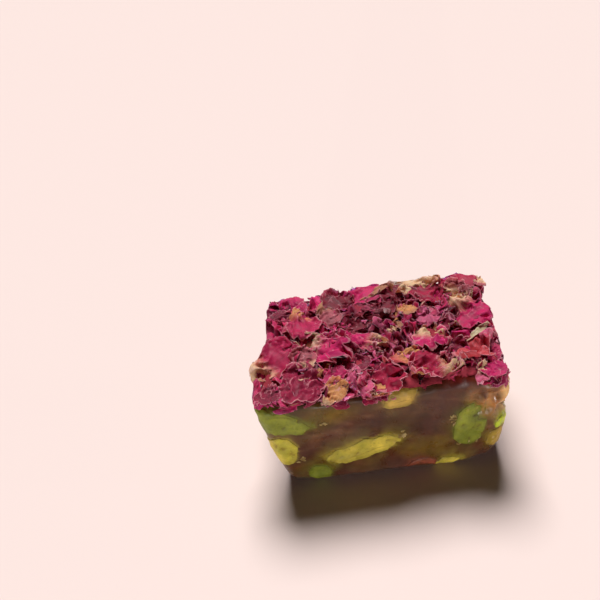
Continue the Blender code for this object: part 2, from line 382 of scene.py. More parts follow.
def on_block(unit):
    """The place in the block's own frame of a point of the cube from -1 to 1."""
    unit = Vector([bunched(c) for c in unit])
    z_reach = FOOT_ROUND if unit.z < 0 else RIM_ROUND
    reach = (UPRIGHT_ROUND, UPRIGHT_ROUND, z_reach)
    soft = rounded(Vector([u * h for u, h in zip(unit, HALF)]), HALF, reach)
    point = block_point(*(s / h / 2 + 0.5 for s, h in zip(soft, HALF)))
    for name, tuck_in in FOOT_TUCKS.items():
        away = (point.xy - TOP_CORNERS[name] - FOOT_SHIFTS[name]).length
        low = max(0, 1 - point.z / (0.4 * TOP)) ** 1.5
        point.xy += tuck_in * max(0, 1 - away / FOOT_TUCK_REACH) * low
    outward = Vector((point.x / HALF.x, point.y / HALF.y, 0))
    outward = Vector([o if abs(o) > SIDE_SHARE else 0 for o in outward])
    if outward.length:
        outward.normalize()
        wave = WAVE * noise.noise(point / WAVE_LENGTH)
        point += outward * (wave - crease(point))
    return point


def cut_block():
    """The fine block: a cube, divided along each axis in turn, laid on the block's form."""
    bpy.ops.object.select_all(action="DESELECT")
    bpy.ops.mesh.primitive_cube_add(size=2)
    block = bpy.context.object
    block.name = "jelly_block"
    for axis, cuts in enumerate(JELLY_CUTS):
        bpy.ops.object.mode_set(mode="EDIT")
        bpy.ops.mesh.select_mode(type="EDGE")
        bpy.ops.mesh.select_all(action="DESELECT")
        bpy.ops.object.mode_set(mode="OBJECT")
        for edge in block.data.edges:
            first, second = (block.data.vertices[i].co for i in edge.vertices)
            edge.select = abs((first - second)[axis]) > 1e-6
        bpy.ops.object.mode_set(mode="EDIT")
        bpy.ops.mesh.subdivide(number_cuts=cuts)
        bpy.ops.object.mode_set(mode="OBJECT")
    points = [on_block(vertex.co) + ANCHOR for vertex in block.data.vertices]
    set_points(block, np.array(points))
    return block


def swell_jelly(block, kernels):
    """Gives the block its soft lumps, knobbly torn corner and petal bank."""
    points = points_of(block)
    outward = normals_of(block)
    lumps = 0.17 * noise_at(points, 4.2 * MM) + 0.08 * noise_at(points, 1.6 * MM, 2.0)
    knobs = noise_at(points, 1.9 * MM, 4.0)
    pits = noise_at(points, 1.1 * MM, 9.0) + 0.5 * noise_at(points, 0.8 * MM, 5.0)
    corner = torn_corner(points)
    lumps += corner * (0.75 * (1 - 2.4 * np.abs(knobs)) + 0.2 - 2.2 * np.clip(pits - 0.36, 0, 0.35))
    rim = np.exp(-(((points[:, 2] - TOP) / (1.5 * MM)) ** 2))
    lumps += rim * 0.4 * noise_at(points, 2.1 * MM, 6.0)
    standing = points[:, 2] > 0.4 * MM
    points += outward * (lumps * standing * MM)[:, None]
    points[:, 2] += petal_bank(points) * (1.0 + 0.5 * noise_at(points, 1.2 * MM, 3.0)) * MM
    points[:, 2] = np.maximum(points[:, 2], 0)
    set_points(block, points)


def petal_bank(points):
    """How far a point belongs to the low bank of jelly where the petals stand back, from 0 to 1."""
    middle = np.array(Vector((12.6, -10.8, 19.0)) * MM + ANCHOR)
    return np.exp(-(((points - middle) / (np.array([3.6, 1.7, 2.0]) * MM)) ** 2).sum(axis=1))


def torn_corner(points):
    """How far a point belongs to the amber front right corner, from 0 to 1."""
    middle = np.array([*(TOP_CORNERS["front_right"] + ANCHOR.xy + Vector((-1.8, 1.5)) * MM), 15.2 * MM])
    away = np.linalg.norm((points - middle) / (np.array([5.6, 4.4, 5.6]) * MM), axis=1)
    return np.clip(1.4 - 1.2 * away, 0, 1)


def shade_jelly(block, kernels):
    """Stains the jelly: brown throughout, taking on the colour of the kernels just under its skin, with painted shade
    along the rim, under the kernels, in the corner's pits and partly on the bank, and painted light at the corner's
    thin outer edge.
    """
    points = points_of(block)
    broad = noise_at(points, 6.0 * MM)
    middling = noise_at(points, 2.2 * MM, 3.0)
    fine = noise_at(points, 0.8 * MM, 5.0)
    stain_and_shade = np.broadcast_to(np.array(JELLY), points.shape).copy()
    stain_and_shade = mixed(stain_and_shade, JELLY_OLIVE, 0.30 + 1.0 * broad + 0.5 * middling)
    stain_and_shade = mixed(stain_and_shade, JELLY_PLUM, 0.30 - 1.2 * broad + 0.5 * middling)
    smears = noise_at(points * [0.45, 0.45, 1.6], 1.5 * MM, 8.0)
    stain_and_shade = mixed(stain_and_shade, JELLY_LIGHT, 1.1 * smears - 0.15)
    low = np.clip(1 - points[:, 2] / (4.5 * MM), 0, 1)
    stain_and_shade = mixed(stain_and_shade, JELLY_MAUVE, low * (0.8 + 0.5 * middling))
    # Painted shade: the jelly darkens just under the rim, on the lit rounded edge beneath the petals.
    stain_and_shade = mixed(stain_and_shade, JELLY_DARK_AND_SHADE, 0.75 * np.exp(-(((points[:, 2] - TOP) / (2.6 * MM)) ** 2)))
    dark = np.array(Vector((1.4, -13.0, 11.5)) * MM + ANCHOR)
    away = np.linalg.norm((points - dark) / (np.array([8.0, 4.0, 3.6]) * MM), axis=1)
    stain_and_shade = mixed(stain_and_shade, JELLY_DARK_AND_SHADE, 0.7 * np.clip(1.3 - away + 0.4 * middling, 0, 1))
    for place, spread, tint, share in GHOSTS:
        away = np.linalg.norm((points - np.array(Vector(place) * MM + ANCHOR)) / (np.array(spread) * MM), axis=1)
        stain_and_shade = mixed(stain_and_shade, tint, share * np.clip(1.35 - away + 0.35 * middling + 0.15 * fine, 0, 1))
    corner = torn_corner(points)
    stain_and_shade = mixed(stain_and_shade, AMBER, corner * 1.15 * (0.7 + 0.9 * middling))
    # Painted light: paler amber at the corner's thin outer edge, as if lit through the jelly.
    outer = np.clip((points[:, 0] - ANCHOR.x) / MM - 18.6, 0, 1.6) / 1.6
    stain_and_shade = mixed(stain_and_shade, AMBER_EDGE_GLOW, corner * outer * (0.9 + 0.6 * fine))
    # The bank takes a dark red syrup colour, made darker as painted shade on its lit top.
    bank = petal_bank(points)
    stain_and_shade = mixed(stain_and_shade, BANK_SYRUP_AND_SHADE, 1.3 * bank)
    # Painted shade in the pits of the torn corner.
    hollow = np.clip(4.0 * (noise_at(points, 1.1 * MM, 9.0) + 0.5 * fine - 0.32), 0, 1)
    stain_and_shade = mixed(stain_and_shade, AMBER_PIT_SHADE, corner * hollow)
    for kernel, tint in kernels:
        gaps, above = gaps_to(kernel, points)
        soft = 0.55 + 0.45 * above + 0.6 * middling
        near = np.clip(1.0 - gaps / (FRINGE * np.clip(soft, 0.1, 1.4)), 0, 1)
        far = np.exp(-((gaps / HALO) ** 1.5)) * np.clip(0.26 + 0.16 * above + 0.5 * middling, 0, 1)
        # Painted shadow: a dark line in the jelly just below each kernel's lower edge.
        under = np.clip(1 - gaps / 0.45, 0, 1) * np.clip(-above - 0.1 + fine, 0, 1)
        stain_and_shade = mixed(stain_and_shade, np.array(tint) * 0.5, far)
        stain_and_shade = mixed(stain_and_shade, np.array(tint) * 0.8, 0.75 * near)
        stain_and_shade = mixed(stain_and_shade, JELLY_DARK_AND_SHADE, 0.8 * under)
    paint(block, "stain_and_shade", stain_and_shade)
    rim = np.exp(-(((points[:, 2] - TOP) / (1.6 * MM)) ** 2)) * (1 - corner)
    high = np.clip((points[:, 2] / MM - 13) / 2.5, 0, 1)
    mark(block, "wet", np.column_stack([np.clip(1.6 * corner * high - 3 * bank - 1.5 * rim, -1, 1)] * 3))


def gaps_to(kernel, points):
    """How far each point is from the kernel in mm, and from -1 to 1 how much it lies above it."""
    tree = tree_of(kernel)
    middle = points_of(kernel).mean(axis=0)
    gaps, above = np.full(len(points), 1000.0), np.zeros(len(points))
    for index in np.flatnonzero(np.linalg.norm(points - middle, axis=1) < 12 * MM):
        place, _, _, gap = tree.find_nearest(Vector(points[index]))
        gaps[index] = gap / MM
        above[index] = (points[index, 2] - place.z) / max(gap, 1e-6)
    return gaps, above


# Kernels


def kernel_piece(node, look, grow, shift):
    """The kernel of this node, smooth, fine enough to take its grain and no longer quite regular."""
    piece = frame["nodes"][node].copy()
    piece.data = piece.data.copy()
    piece.name = "cut_" + node
    piece.parent = None
    for key in list(piece.keys()):
        del piece[key]
    bpy.context.scene.collection.objects.link(piece)
    only(piece)
    bpy.ops.object.mode_set(mode="EDIT")
    bpy.ops.mesh.select_all(action="SELECT")
    bpy.ops.mesh.remove_doubles(threshold=1e-6)
    bpy.ops.object.mode_set(mode="OBJECT")
    finish_with(piece, "REMESH", mode="VOXEL", voxel_size=0.16 * MM)
    finish_with(piece, "SMOOTH", factor=0.5, iterations=6)
    points = points_of(piece)
    middle = (points.max(axis=0) + points.min(axis=0)) / 2
    points = middle + (points - middle) * np.array(grow) + np.array(shift) * MM
    for way in range(3):
        wander = 0.42 * noise_at(points, 2.2 * MM, 11.0 + way) + 0.18 * noise_at(points, 0.8 * MM, 21.0 + way)
        points[:, way] += wander * MM
    set_points(piece, points)
    piece.data.materials.clear()
    piece.data.materials.append(look)
    piece.data.shade_smooth()
    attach(piece, "root")
    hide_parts(node)
    return piece


def cut_kernel(piece, block_tree):
    """Cuts the kernel off just above the jelly's face, a little rough, and returns its heights there."""
    points = points_of(piece)
    rough = 0.10 + 0.08 * noise_at(points, 3.0 * MM) + 0.09 * noise_at(points, 1.1 * MM, 2.0)
    rough += 0.05 * noise_at(points, 0.45 * MM, 5.0)
    heights = np.empty(len(points))
    for index, point in enumerate(points):
        place, normal, _, _ = block_tree.find_nearest(Vector(point))
        height = (Vector(point) - place).dot(normal)
        heights[index] = min(height, rough[index] * MM)
        if height > heights[index]:
            points[index] = place + normal * heights[index]
    set_points(piece, points)
    return heights


def grain_places(piece):
    """Each point's place along the kernel and across it, both from -1 to 1, and noise drawn out along it."""
    points = points_of(piece)
    centred = points - (points.max(axis=0) + points.min(axis=0)) / 2
    axes = np.linalg.svd(centred - centred.mean(axis=0), full_matrices=False)[2]
    along, across = centred @ axes[0], centred @ axes[1]
    drawn = np.column_stack([along * 0.35, across * 1.6, centred @ axes[2]])
    return along / np.abs(along).max(), across / np.abs(across).max(), noise_at(drawn, 0.8 * MM, 4.0)


def shade_kernel(piece, tint, heights):
    """Gives a kernel its flesh, and veils it with jelly where it goes under."""
    points = points_of(piece)
    along, across, drawn = grain_places(piece)
    tint = np.array(tint)
    flesh = np.broadcast_to(tint, points.shape).copy()
    patches = noise_at(points, 2.6 * MM, 9.0)
    flesh = mixed(flesh, tint * 1.35, 0.15 + 1.0 * patches)
    flesh = mixed(flesh, tint * [0.62, 0.7, 0.6], 0.1 - 0.9 * patches)
    flesh = mixed(flesh, tint * [0.7, 0.74, 0.5], 1.3 * drawn - 0.4)
    seam = np.abs(across - 0.18 - 0.35 * noise_at(points, 3.0 * MM, 17.0))
    flesh = mixed(flesh, tint * [0.55, 0.5, 0.35], np.clip(1 - seam / 0.07, 0, 1) * np.clip(1.2 - 1.6 * np.abs(along), 0, 0.7))
    end = np.clip(np.maximum(np.abs(along), np.abs(across)) - 0.74, 0, 1) * 3
    flesh = mixed(flesh, tint * [0.72, 0.85, 0.5], end)
    crumbs = noise_at(points, 0.6 * MM, 7.0)
    flesh = mixed(flesh, CRUMB, np.clip((crumbs - 0.25) * 6, 0, 1) * np.clip(along * 3 - 1.7, 0, 0.8))
    veil = 1 - np.clip((heights / MM + 0.05) / 0.11, 0, 1)
    sunk = KDTree(int((heights < 0.02 * MM).sum()))
    for number, index in enumerate(np.flatnonzero(heights < 0.02 * MM)):
        sunk.insert(points[index], number)
    sunk.balance()
    inside = np.array([sunk.find(point)[2] for point in points]) / MM
    soft = np.clip(0.75 + 0.9 * noise_at(points, 1.8 * MM, 13.0), 0.1, 1.5)
    flesh = mixed(flesh, tint * [0.55, 0.52, 0.4], 0.6 * np.clip(1 - inside / soft, 0, 1))
    flesh = mixed(flesh, np.array(JELLY) * 1.1, 0.85 * veil)
    paint(piece, "flesh", flesh)


def add_crumbs(block_tree, look):
    """Crumbs of kernel that the knife dragged out over the jelly."""
    chance = random.Random(11)
    crumbs = []
    for x, z, spread_x, spread_z, count in CRUMB_SPOTS:
        for number in range(count):
            place = Vector((chance.gauss(x, spread_x), -18, chance.gauss(z, spread_z))) * MM + ANCHOR
            spot, normal, _, _ = block_tree.find_nearest(place)
            bpy.ops.object.select_all(action="DESELECT")
            bpy.ops.mesh.primitive_ico_sphere_add(subdivisions=2, radius=1)
            crumb = bpy.context.object
            sides = [chance.uniform(0.14, 0.42), chance.uniform(0.08, 0.2), 0.07]
            points = points_of(crumb)
            points *= (1 + 0.9 * noise_at(points, 0.6, number * 3.1))[:, None]
            lean = normal.to_track_quat("Z", "Y") @ Quaternion((0, 0, 1), chance.gauss(0, 0.7))
            turn = np.array(lean.to_matrix())
            set_points(crumb, points * sides * MM @ turn.T + np.array(spot + normal * 0.02 * MM))
            crumbs.append(crumb)
    only(crumbs[0])
    for crumb in crumbs:
        crumb.select_set(True)
    bpy.ops.object.join()
    whole = bpy.context.object
    whole.name = "kernel_crumbs"
    whole.data.materials.clear()
    whole.data.materials.append(look)
    whole.data.shade_smooth()
    crumb_tone = noise_at(points_of(whole), 1.0 * MM)
    paint(whole, "flesh", mixed(np.array(CRUMB) * np.ones((len(crumb_tone), 1)), CRUMB_DARK, 0.5 + 1.6 * crumb_tone))
    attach(whole, "root")


# Petals


FORMS = {  # width and length in mm, shares of the width, then bends in degrees and the ridge's share
    "broad": (9.0, 7.5, 0.55, 0.035, 0.035, 0.9, 45, 50, 8, 0.06),
    "cup": (6.5, 6.5, 0.45, 0.05, 0.05, 1.0, 80, 70, 10, 0.0),
    "shell": (7.0, 8.0, 0.35, 0.05, 0.05, 1.1, 80, 30, -15, 0.05),
    "tent": (8.0, 8.5, 0.22, 0.04, 0.045, 0.9, 35, -95, 10, 0.16),
    "scroll": (7.0, 6.5, 0.50, 0.05, 0.05, 0.9, 20, 210, 20, 0.0),
    "twist": (4.5, 7.5, 0.50, 0.08, 0.07, 1.2, 50, 60, 110, 0.0),
    "crinkle": (7.5, 7.0, 0.60, 0.10, 0.05, 2.4, 25, 25, 0, 0.0),
    "flake": (5.0, 5.0, 0.80, 0.06, 0.08, 1.2, 25, -30, 10, 0.0),
    "tuft": (5.5, 5.5, 0.25, 0.14, 0.12, 1.8, 80, 100, 40, 0.0),
    "spear": (2.2, 8.0, 0.30, 0.05, 0.06, 0.8, 25, 110, 30, 0.0),
    "strip": (0.9, 6.0, 0.70, 0.20, 0.20, 1.6, 90, 60, 160, 0.0),
    "thread": (0.45, 7.0, 0.80, 0.30, 0.30, 1.2, 200, 120, 90, 0.0),
}


def petal_sheet(name, form, seed, cells=(5, 6), steps=3, thickness=0.10 * MM):
    """One petal lying flat, its claw towards -Y, torn, folded, crumpled and curled."""
    width, length, claw, fold, tear, crumple, curl, roll, twist, ridge = FORMS[form]
    chance = random.Random(seed)
    bpy.ops.object.select_all(action="DESELECT")
    bpy.ops.mesh.primitive_grid_add(x_subdivisions=cells[0], y_subdivisions=cells[1], size=2)
    piece = bpy.context.object
    piece.name = name
    for vertex in piece.data.vertices:
        across, along = vertex.co.x, vertex.co.y * 0.5 + 0.5
        swell = claw + (1 - claw) * math.sin(min(1, along * 1.3) * math.pi / 2)
        swell *= 1 - 0.30 * max(0, along - 0.72) / 0.28
        arch = (1 - across * across) * (0.26 * along - 0.10)
        place = Vector((across * swell * width / 2, (along - 0.5 + arch) * length, 0))
        place.z = ridge * width * (1 - abs(across)) * (0.4 + 0.6 * along)
        shake = Vector([chance.uniform(-share, share) for share in (tear, tear, fold)])
        vertex.co = (place + shake * width) * MM
    bpy.ops.object.mode_set(mode="EDIT")
    for step in range(steps):
        bpy.ops.mesh.select_all(action="SELECT")
        bpy.ops.mesh.subdivide(
            number_cuts=1, fractal=crumple * 0.75**step, fractal_along_normal=0.75, seed=seed + step
        )
        bpy.ops.mesh.select_all(action="DESELECT")
        bpy.ops.mesh.select_non_manifold()
        bpy.ops.transform.vertex_random(
            offset=tear * width * MM * 0.5 / (step + 1), uniform=1.0, normal=0.0, seed=seed
        )
    bpy.ops.object.mode_set(mode="OBJECT")
    finish_with(piece, "SMOOTH", factor=0.5, iterations=steps - 1)
    points = points_of(piece)
    long_folds, short_folds = noise_at(points, 2.3 * MM, seed), noise_at(points, 1.1 * MM, -seed)
    crumpled = 1 + crumple / 3
    folds = 0.85 * np.abs(long_folds) + 0.35 * np.abs(short_folds)
    calm = np.clip(0.3 + 1.4 * (points[:, 1] / (length * MM) + 0.5), 0.3, 1)
    points[:, 2] -= crumpled * folds * calm * MM * min(1, width / 6)
    set_points(piece, points)
    # Fold ridges, later painted by the material as pale highlight lines.
    crease = np.exp(-((long_folds / 0.10) ** 2)) + 0.5 * np.exp(-((short_folds / 0.14) ** 2))
    mark(piece, "crease", np.column_stack([crease] * 3))
    bends = (("BEND", "X", curl), ("BEND", "Y", roll), ("TWIST", "Y", twist))
    for way, axis, angle in bends:
        turn = math.radians(angle * chance.uniform(0.7, 1.3))
        finish_with(piece, "SIMPLE_DEFORM", deform_method=way, deform_axis=axis, angle=turn)
    finish_with(piece, "SOLIDIFY", thickness=thickness, offset=0)
    piece.data.uv_layers[0].name = "OFBake"
    piece.data.shade_smooth()
    return piece


def sheet_places(piece):
    """Each point's place on the flat petal: across from -1 to 1 and along from 0 to 1."""
    mesh = piece.data
    flat = np.empty(len(mesh.loops) * 2, np.float32)
    mesh.uv_layers[0].data.foreach_get("uv", flat)
    corners = np.empty(len(mesh.loops), np.int32)
    mesh.loops.foreach_get("vertex_index", corners)
    places = np.zeros((len(mesh.vertices), 2))
    places[corners] = flat.reshape(-1, 2)
    return places * [2, 1] - [1, 0]


def colour_petal(piece, number, blade, claw, reach, pale=0.7):
    """Stores what the petal's material reads."""
    places = sheet_places(piece)
    crease = np.empty(len(places) * 3, np.float32)
    piece.data.attributes["crease"].data.foreach_get("vector", crease)
    # The rim mark covers the petal's edge and its fold ridges, where the material paints the pale rim and highlight.
    rim = np.maximum(np.abs(places[:, 0]), np.abs(places[:, 1] * 2 - 1))
    rim = np.maximum(rim, 0.97 * np.minimum(crease[::3], 1))
    each = np.ones(len(rim))
    mark(piece, "sheet", np.column_stack([places, number * each]))
    mark(piece, "marks", np.column_stack([reach * each, pale * each, rim]))
    paint(piece, "blade", blade)
    paint(piece, "claw", claw)


def lay(piece, place, heading, pitch, roll, size):
    """Turns and moves a petal: heading is where its rim points, from +X round to +Y."""
    turn = Matrix.Rotation(math.radians(heading - 90), 4, "Z")
    turn = turn @ Matrix.Rotation(math.radians(pitch), 4, "X")
    turn = turn @ Matrix.Rotation(math.radians(roll), 4, "Y")
    piece.data.transform(Matrix.Translation(place) @ turn @ Matrix.Scale(size, 4))


def press(piece, crust_tree, proud):
    """Draws what stands out of the crust's solid back towards it, to less than proud, or half at its sides."""
    points = points_of(piece)
    for index, point in enumerate(points):
        place, normal, _, gap = crust_tree.find_nearest(Vector(point))
        out = Vector(point) - place
        beside = out.xy.dot(place.xy - ANCHOR.xy) > 0.5 * gap * place.xy.length
        if gap and (out.dot(normal) > 0 or beside):
            most = proud * (0.4 + 0.6 * abs(out.z) / gap)
            points[index] = place + out * (most * (1 - math.exp(-gap / most)) / gap)
    set_points(piece, points)


def hug(piece, tree, most):
    """Draws the points that are further than most from the tree's surface back to that."""
    points = points_of(piece)
    for index, point in enumerate(points):
        place, _, _, gap = tree.find_nearest(Vector(point))
        if gap > most:
            points[index] = place + (Vector(point) - place) * (most / gap)
    set_points(piece, points)


def roof_over(pieces):
    """The highest of these pieces' points in each square of the top, as a grid of heights."""
    roof = np.full(ROOF_CELLS, -1.0)
    points = np.vstack([points_of(piece) for piece in pieces])
    cells = cells_of(points)
    np.maximum.at(roof, (cells[:, 0], cells[:, 1]), points[:, 2])
    return roof


def cells_of(points):
    cells = ((points[:, :2] - np.array(CAD_LOW.xy)) / ROOF_SQUARE + 8).astype(int)
    return np.clip(cells, 0, np.array(ROOF_CELLS) - 1)


def tuck(piece, roof, share):
    """Pushes the points that would lie over the roof of larger petals to just under it."""
    points = points_of(piece)
    cells = cells_of(points)
    tops = roof[cells[:, 0], cells[:, 1]] - TUCK
    excess = np.where(tops > 0, np.clip(points[:, 2] - tops, 0, None), 0) * share
    points[:, 2] -= np.percentile(excess, 85)
    excess = np.where(tops > 0, np.clip(points[:, 2] - tops, 0, None), 0) * share
    points[:, 2] -= excess
    set_points(piece, points)


def gather(pieces, name, look):
    """Joins pieces into one, each with its own square of the map, and hangs it on the frame."""
    columns = math.ceil(math.sqrt(len(pieces)))
    for number, piece in enumerate(pieces):
        layer = piece.data.uv_layers["OFBake"].data
        flat = np.empty(len(layer) * 2, np.float32)
        layer.foreach_get("uv", flat)
        cell = np.array([number % columns, number // columns])
        flat = (flat.reshape(-1, 2) * 0.92 + 0.04 + cell) / columns
        layer.foreach_set("uv", flat.ravel())
    bpy.ops.object.select_all(action="DESELECT")
    for piece in pieces:
        piece.select_set(True)
    bpy.context.view_layer.objects.active = pieces[0]
    bpy.ops.object.join()
    whole = bpy.context.object
    whole.name = name
    whole.data.materials.clear()
    whole.data.materials.append(look)
    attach(whole, "root")
    return whole


WINE, CRIMSON, MAGENTA = srgb(118, 20, 40), srgb(162, 24, 60), srgb(192, 28, 88)
MAROON = srgb(142, 28, 60)
PINK, PURPLE, CORAL = srgb(212, 84, 120), srgb(126, 28, 54), srgb(194, 68, 76)
DUSTY, GOLD, CREAM = srgb(168, 78, 88), srgb(214, 136, 86), srgb(234, 182, 142)
LEAF, TAN, ROSE = srgb(222, 192, 152), srgb(184, 118, 88), srgb(182, 36, 80)

HERO_PETALS = [
    # form, seed, x, y, lift, heading, pitch, roll, size, blade, claw, reach, pale, proud
    ("shell", 3, -19.4, -4.6, 1.5, 40, 8, 18, 1.16, ROSE, CREAM, 0.34, 0.5, 0.9),
    ("tent", 10, -13.7, 5.4, 1.5, -82, 14, 0, 0.95, ROSE, GOLD, 0.32, 0.9, 1.2),
    ("shell", 17, -9.9, -2.6, 1.9, -40, 6, 8, 1.20, MAGENTA, LEAF, 0.28, 0.8, 1.1),
    ("crinkle", 24, -14.0, -10.6, 1.5, -90, 0, 0, 1.12, MAROON, PINK, 0.00, 1.0, 0.9),
    ("shell", 31, -8.9, -13.4, 0.9, 50, 14, 10, 0.62, GOLD, CREAM, 0.20, 0.9, 1.0),
    ("twist", 38, -3.9, -11.8, 1.0, -60, -15, 0, 0.75, PINK, PINK, 0.30, 0.9, 0.9),
    ("flake", 45, -1.8, -14.2, 0.4, -80, -10, 10, 0.85, CORAL, GOLD, 0.60, 0.6, 1.0),
    ("cup", 52, -0.8, -11.2, 1.3, 10, 0, 10, 1.00, CRIMSON, PINK, 0.10, 1.0, 0.8),
    ("shell", 59, 8.9, -9.0, 1.6, 178, 5, 0, 0.98, CRIMSON, CREAM, 0.34, 0.9, 1.0),
    ("tuft", 66, 15.7, -5.8, 1.7, -130, 5, 10, 1.35, CORAL, PINK, 0.20, 0.8, 1.0),
    ("cup", 73, 9.0, -1.6, 1.7, -100, 5, 0, 1.00, MAGENTA, CREAM, 0.42, 1.0, 1.0),
    ("spear", 80, 16.8, -2.2, 2.2, 35, 15, 0, 0.62, LEAF, LEAF, 0.50, 0.3, 1.4),
    ("shell", 87, 17.0, 4.4, 1.9, -55, 0, 14, 1.10, MAGENTA, CREAM, 0.26, 0.5, 0.9),
    ("flake", 94, 6.1, 6.2, 2.2, -80, 15, 0, 0.72, TAN, GOLD, 0.60, 0.4, 1.4),
    ("shell", 101, 8.6, 15.0, 2.2, 185, -14, -10, 1.05, TAN, CREAM, 0.85, 0.5, 1.4),
    ("broad", 108, -2.2, 13.6, 1.6, 20, 10, 0, 0.90, MAGENTA, PINK, 0.05, 0.6, 0.8),
    ("spear", 115, 0.8, 12.8, 2.2, 30, 15, 0, 0.80, TAN, TAN, 0.50, 0.4, 1.2),
    ("tuft", 122, 15.4, 9.9, 2.2, 60, 20, 0, 0.90, DUSTY, CREAM, 0.60, 0.6, 1.0),
    ("scroll", 129, 17.6, 9.4, 2.6, 100, 30, 0, 0.40, DUSTY, CREAM, 0.50, 0.9, 1.6),
    ("twist", 136, -2.6, -1.2, 1.8, 160, 5, 0, 0.95, MAGENTA, CREAM, 0.35, 0.8, 1.2),
    ("twist", 143, 3.4, -6.7, 1.7, -150, 0, 0, 0.85, CORAL, GOLD, 0.55, 0.5, 1.2),
    ("flake", 150, 21.4, 12.6, 2.7, -120, 10, 0, 0.72, DUSTY, CREAM, 0.60, 0.5, 1.0),
    ("tent", 157, -8.9, 7.6, 1.5, -70, 0, 0, 0.66, DUSTY, TAN, 0.30, 0.9, 1.0),
    ("crinkle", 164, 17.6, -10.6, 1.4, -30, 0, 0, 0.62, MAGENTA, PINK, 0.05, 0.8, 0.8),
    ("twist", 171, 15.9, -12.0, 1.1, -100, -20, 0, 0.55, PINK, CREAM, 0.40, 0.6, 1.0),
    ("broad", 178, 16.2, 14.2, 2.4, 30, 10, 0, 0.90, CRIMSON, PINK, 0.00, 0.6, 0.8),
    ("flake", 185, -8.4, -9.8, 1.6, 40, 10, 0, 0.70, MAGENTA, PINK, 0.05, 0.8, 0.9),
    ("flake", 192, -19.6, -13.0, 1.3, -140, 0, 0, 0.78, PURPLE, PINK, 0.05, 0.8, 0.6),
    ("scroll", 199, 3.0, 1.2, 2.0, 20, 20, 0, 0.40, TAN, CREAM, 0.50, 0.9, 1.4),
    ("broad", 206, 1.6, 9.6, 1.4, -20, 0, 0, 0.66, WINE, PINK, 0.05, 0.8, 0.8),
    ("tent", 213, 9.4, 5.2, 1.6, -90, 0, 0, 0.60, PINK, CREAM, 0.10, 0.8, 1.0),
    ("crinkle", 220, -15.0, 11.6, 1.3, 120, 0, 0, 0.72, MAGENTA, PINK, 0.10, 0.9, 0.6),
    ("cup", 227, -4.8, 3.4, 1.0, 60, 0, 0, 0.90, WINE, PINK, 0.05, 0.9, 0.8),
    ("broad", 234, 5.4, 12.2, 1.6, 140, 0, 0, 0.85, WINE, PINK, 0.00, 0.8, 0.8),
    ("broad", 241, 11.0, 11.6, 1.8, -150, 0, 0, 0.85, CRIMSON, GOLD, 0.05, 0.6, 0.8),
    ("broad", 248, -6.8, 12.4, 1.6, -60, 0, 0, 0.75, WINE, PINK, 0.00, 0.6, 0.8),
    ("crinkle", 255, -16.9, 8.0, 1.2, 150, 0, 0, 0.62, PURPLE, PINK, 0.05, 0.8, 0.6),
    ("crinkle", 262, -5.4, -5.6, 1.2, -30, 0, 0, 0.80, PURPLE, PINK, 0.05, 0.8, 0.9),
    ("cup", 269, -13.4, -5.0, 1.6, 100, 0, 0, 0.75, DUSTY, CREAM, 0.30, 0.9, 0.9),
    ("crinkle", 276, 18.9, -6.4, 1.2, 80, 0, 0, 0.50, ROSE, PINK, 0.05, 0.9, 0.5),
    ("crinkle", 283, -6.6, -8.6, 1.3, 10, 0, 0, 0.60, PINK, PINK, 0.05, 0.9, 0.8),
    ("tuft", 290, 12.6, -5.6, 1.2, 40, 0, 0, 0.80, PURPLE, PINK, 0.05, 0.9, 0.8),
    ("tuft", 297, 1.6, -3.4, 1.2, 140, 0, 0, 0.90, WINE, PINK, 0.05, 0.9, 0.8),
    ("crinkle", 304, -18.0, 0.6, 1.2, 200, 0, 0, 0.60, PURPLE, PINK, 0.05, 0.8, 0.6),
]

DARK_GAPS = (  # places where the bed shows, and how far the small petals stay from them, in mm
    (1.0, 4.3, 1.8), (2.6, 4.6, 1.8), (10.2, 4.0, 1.7), (14.9, -0.9, 1.7), (-6.7, 5.9, 1.7),
    (-20.6, -13.1, 1.5), (5.0, -12.8, 1.9), (6.9, -13.4, 2.0), (9.4, -13.0, 2.5), (11.8, -12.4, 2.8), (14.2, -12.0, 2.5),
)
SHADED_HOLLOWS = (  # painted shade in the hollows of the heap: middle and half sizes in mm
    (1.6, 4.0, 4.0, 3.0), (-7.0, 7.0, 3.0, 2.5), (-1.0, -3.0, 3.0, 2.0), (10.4, 4.4, 2.5, 2.0), (12.4, -5.6, 2.0, 1.5),
    (-18.6, -11.0, 2.5, 2.0), (-17.5, 9.5, 2.5, 2.0), (15.0, -0.6, 1.5, 1.5),
)
ROOF_SQUARE = 0.3 * MM
ROOF_CELLS = (170, 126)
TUCK = 0.2 * MM
LITTER_FORMS = ("crinkle", "shell", "flake", "twist", "cup")
SHRED_FORMS = ("strip", "thread", "scroll", "thread", "twist")
BED_SHARE = 0.22
LITTER_BLADES = (WINE, PURPLE, CRIMSON, CRIMSON, PURPLE, ROSE, MAGENTA, ROSE)
SHRED_BLADES = (WINE, CRIMSON, PURPLE, MAGENTA, ROSE, PINK, DUSTY)


def petal_here(chance, spread):
    """A random place on top of the block, and how far it is from the rim in mm."""
    across, deep = ((chance.uniform(0, 1) - 0.5) * spread + 0.5 for _ in range(2))
    room = min(min(across, 1 - across) * 2 * HALF.x, min(deep, 1 - deep) * 2 * HALF.y) / MM
    return block_point(across, deep, 1) + ANCHOR, max(0, room)


def hollow_shade_at(spot):
    """How light the small petals are round a spot: darker in the hollows of the heap, as painted shade."""
    away = [((spot.x - x) / wide) ** 2 + ((spot.y - y) / deep) ** 2 for x, y, wide, deep in SHADED_HOLLOWS]
    return 1.3 - 0.75 * max(math.exp(-far) for far in away)


